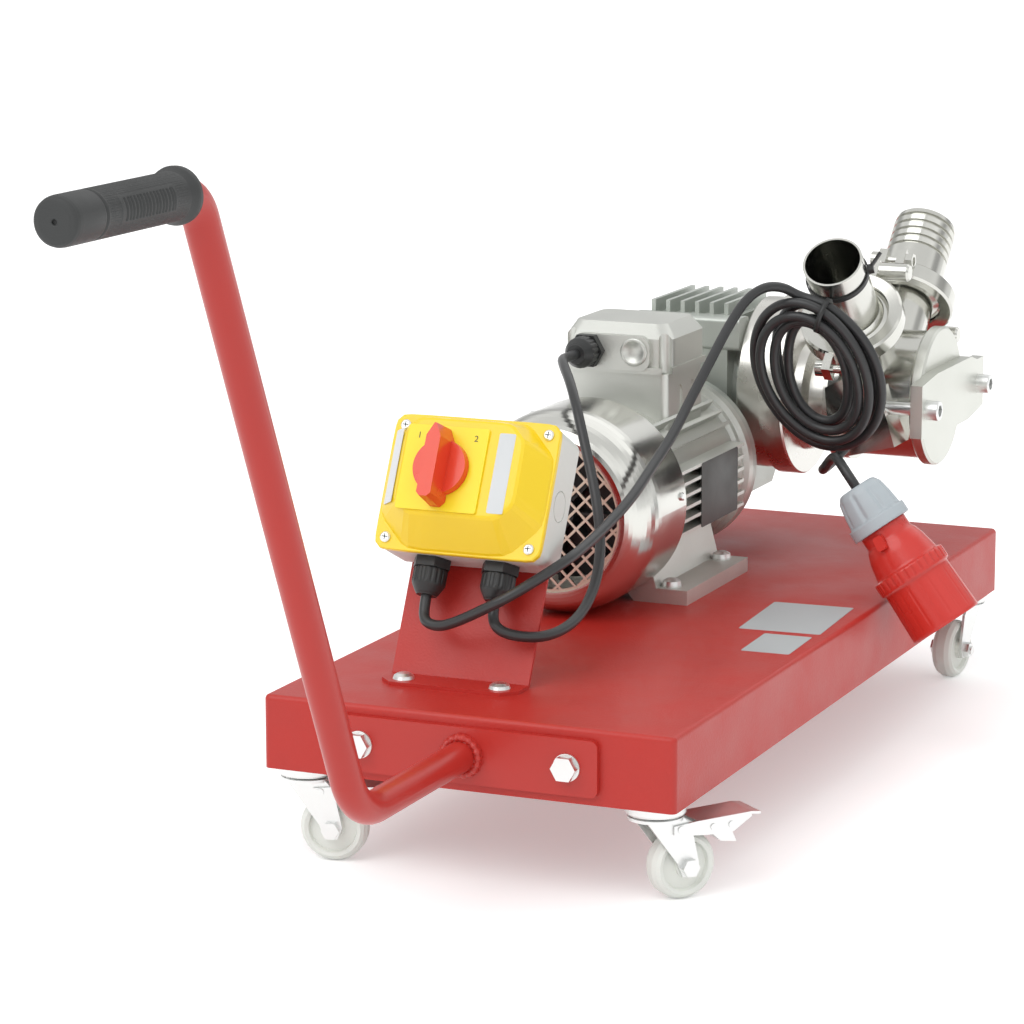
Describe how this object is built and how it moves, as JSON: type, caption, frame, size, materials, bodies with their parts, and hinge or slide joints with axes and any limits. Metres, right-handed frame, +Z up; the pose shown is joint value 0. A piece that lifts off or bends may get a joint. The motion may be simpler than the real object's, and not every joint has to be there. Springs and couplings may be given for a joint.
{
  "type": "mobile rotary lobe pump",
  "caption": "Wheeled rotary lobe pump: trolley with braked castors and pull handle, switch, geared motor, gear case, pump head with two ports, coiled lead and plug.",
  "frame": {"origin": "middle of the footprint of everything but the cord, on the floor", "axes": "+Z up; +Y along the trolley, from the pull handle to the far end; +X to the side the pump head looks out of"},
  "size_m": [0.4327, 1.479, 0.6095],
  "materials": {
    "ball_bearings": "bearing steel",
    "base_tray": "red powder coat, slightly orange-peeled",
    "brake_pedal_front_left": "zinc-plated lever with a black cam",
    "brake_pedal_front_right": "zinc-plated lever with a black cam",
    "bridge_plate": "polished stainless steel",
    "bridge_screws": "zinc or stainless fasteners",
    "cable_glands": "black moulded glands",
    "cable_tie": "black tie",
    "cam_switch": "black moulded switch block",
    "castor_heads": "zinc-plated pressings",
    "cooling_fan": "black moulded fan",
    "cover_screws": "zinc or stainless fasteners",
    "cowl_grille": "pressed mesh",
    "drive_rotor": "polished stainless steel",
    "drive_shaft": "machined steel",
    "drive_timing_gear": "machined steel",
    "driven_rotor": "polished stainless steel",
    "driven_shaft": "machined steel",
    "driven_timing_gear": "machined steel",
    "fan_cowl": "bright zinc-plated spinning",
    "fork_back_left": "zinc-plated pressing and axle bolt",
    "fork_back_right": "zinc-plated pressing and axle bolt",
    "fork_front_left": "zinc-plated pressing and axle bolt",
    "fork_front_right": "zinc-plated pressing and axle bolt",
    "gear_case_front": "polished stainless steel",
    "gear_case_rear": "polished stainless steel",
    "gearbox_housing": "grey painted die casting",
    "gearbox_side_cover": "grey painted die casting",
    "handle_frame": "red powder coat, slightly orange-peeled",
    "handle_grip": "black soft grip",
    "inlet_spigot": "polished stainless steel",
    "lead_coil": "black rubber sheath",
    "lead_tail": "black rubber sheath",
    "mains_lead": "black rubber sheath",
    "motor_end_shields": "cast aluminium, silver-grey paint",
    "motor_feet": "cast aluminium, silver-grey paint",
    "motor_frame": "cast aluminium, silver-grey paint",
    "motor_lead": "black rubber sheath",
    "motor_rotor": "machined steel",
    "outlet_hose_barb": "polished stainless steel",
    "plug_body": "red moulding",
    "plug_cap": "grey moulding",
    "port_clamps": "polished stainless steel",
    "pump_body": "polished stainless steel",
    "pump_cover": "polished stainless steel",
    "shaft_seals": "black lip seals",
    "stator": "varnished windings and laminations",
    "switch_box": "light grey moulding",
    "switch_bracket": "red powder coat, slightly orange-peeled",
    "switch_cover": "yellow moulding",
    "switch_faceplate": "yellow dial plate with bare position marks",
    "switch_knob": "red moulded knob",
    "terminal_box": "cast aluminium, silver-grey paint",
    "trolley_bolts": "zinc or stainless fasteners",
    "wheel_back_left": "cream-white cast nylon",
    "wheel_back_right": "cream-white cast nylon",
    "wheel_front_left": "cream-white cast nylon",
    "wheel_front_right": "cream-white cast nylon",
    "worm": "machined steel",
    "worm_wheel": "bronze rim on an iron centre"
  },
  "bodies": {
    "trolley": {"ball_bearings": "ball_bearings", "base_tray": "base_tray", "bridge_plate": "bridge_plate", "bridge_screws": "bridge_screws", "cable_glands": "cable_glands", "cable_tie": "cable_tie", "cam_switch": "cam_switch", "castor_heads": "castor_heads", "cover_screws": "cover_screws", "cowl_grille": "cowl_grille", "fan_cowl": "fan_cowl", "gear_case_front": "gear_case_front", "gear_case_rear": "gear_case_rear", "gearbox_housing": "gearbox_housing", "gearbox_side_cover": "gearbox_side_cover", "handle_frame": "handle_frame", "handle_grip": "handle_grip", "inlet_spigot": "inlet_spigot", "lead_coil": "lead_coil", "lead_tail": "lead_tail", "mains_lead": "mains_lead", "motor_end_shields": "motor_end_shields", "motor_feet": "motor_feet", "motor_frame": "motor_frame", "motor_lead": "motor_lead", "outlet_hose_barb": "outlet_hose_barb", "plug_body": "plug_body", "plug_cap": "plug_cap", "port_clamps": "port_clamps", "pump_body": "pump_body", "pump_cover": "pump_cover", "shaft_seals": "shaft_seals", "stator": "stator", "switch_box": "switch_box", "switch_bracket": "switch_bracket", "switch_cover": "switch_cover", "switch_faceplate": "switch_faceplate", "terminal_box": "terminal_box", "trolley_bolts": "trolley_bolts"},
    "fork_front_right": {"fork_front_right": "fork_front_right"},
    "wheel_front_right": {"wheel_front_right": "wheel_front_right"},
    "pedal_front_right": {"brake_pedal_front_right": "brake_pedal_front_right"},
    "fork_front_left": {"fork_front_left": "fork_front_left"},
    "wheel_front_left": {"wheel_front_left": "wheel_front_left"},
    "pedal_front_left": {"brake_pedal_front_left": "brake_pedal_front_left"},
    "fork_back_right": {"fork_back_right": "fork_back_right"},
    "wheel_back_right": {"wheel_back_right": "wheel_back_right"},
    "fork_back_left": {"fork_back_left": "fork_back_left"},
    "wheel_back_left": {"wheel_back_left": "wheel_back_left"},
    "knob": {"switch_knob": "switch_knob"},
    "motor_shaft": {"motor_rotor": "motor_rotor", "cooling_fan": "cooling_fan", "worm": "worm"},
    "driving_shaft": {"worm_wheel": "worm_wheel", "drive_shaft": "drive_shaft", "drive_timing_gear": "drive_timing_gear", "drive_rotor": "drive_rotor"},
    "driven_shaft": {"driven_shaft": "driven_shaft", "driven_timing_gear": "driven_timing_gear", "driven_rotor": "driven_rotor"}
  },
  "joints": [
    {"name": "swivel_front_right", "type": "hinge", "parent": "trolley", "child": "fork_front_right", "pos_m": [0.12876, -0.11052, 0.06], "axis": [0, 0, 1], "continuous": true},
    {"name": "roll_front_right", "type": "hinge", "parent": "fork_front_right", "child": "wheel_front_right", "pos_m": [0.1429, -0.09367, 0.0275], "axis": [-0.766, 0.6428, 0], "continuous": true},
    {"name": "brake_front_right", "type": "hinge", "parent": "fork_front_right", "child": "pedal_front_right", "pos_m": [0.13776, -0.09979, 0.059], "axis": [-0.766, 0.6428, 0], "range_deg": [0, 8]},
    {"name": "swivel_front_left", "type": "hinge", "parent": "trolley", "child": "fork_front_left", "pos_m": [-0.16924, -0.11052, 0.06], "axis": [0, 0, 1], "continuous": true},
    {"name": "roll_front_left", "type": "hinge", "parent": "fork_front_left", "child": "wheel_front_left", "pos_m": [-0.14772, -0.10594, 0.0275], "axis": [-0.2079, 0.9781, 0], "continuous": true},
    {"name": "brake_front_left", "type": "hinge", "parent": "fork_front_left", "child": "pedal_front_left", "pos_m": [-0.15555, -0.10761, 0.059], "axis": [-0.2079, 0.9781, 0], "range_deg": [0, 8]},
    {"name": "swivel_back_right", "type": "hinge", "parent": "trolley", "child": "fork_back_right", "pos_m": [0.12876, 0.69748, 0.06], "axis": [0, 0, 1], "continuous": true},
    {"name": "roll_back_right", "type": "hinge", "parent": "fork_back_right", "child": "wheel_back_right", "pos_m": [0.12608, 0.67565, 0.0275], "axis": [0.9925, -0.1219, 0], "continuous": true},
    {"name": "swivel_back_left", "type": "hinge", "parent": "trolley", "child": "fork_back_left", "pos_m": [-0.16924, 0.69748, 0.06], "axis": [0, 0, 1], "continuous": true},
    {"name": "roll_back_left", "type": "hinge", "parent": "fork_back_left", "child": "wheel_back_left", "pos_m": [-0.16355, 0.67623, 0.0275], "axis": [0.9659, 0.2588, 0], "continuous": true},
    {"name": "switch_turn", "type": "hinge", "parent": "trolley", "child": "knob", "pos_m": [-0.08224, -0.01329, 0.29868], "axis": [0, -0.8988, 0.4384], "range_deg": [-45, 45]},
    {"name": "motor_spin", "type": "hinge", "parent": "trolley", "child": "motor_shaft", "pos_m": [-0.08924, 0.36348, 0.228], "axis": [0, 1, 0], "continuous": true},
    {"name": "driving_spin", "type": "hinge", "parent": "trolley", "child": "driving_shaft", "pos_m": [-0.02024, 0.58148, 0.291], "axis": [1, 0, 0], "continuous": true},
    {"name": "driven_spin", "type": "hinge", "parent": "trolley", "child": "driven_shaft", "pos_m": [-0.02024, 0.58148, 0.258], "axis": [1, 0, 0], "continuous": true}
  ],
  "couplings": [
    {"joint": "driving_spin", "follows": "motor_spin", "ratio": 0.1},
    {"joint": "driven_spin", "follows": "motor_spin", "ratio": -0.1}
  ]
}
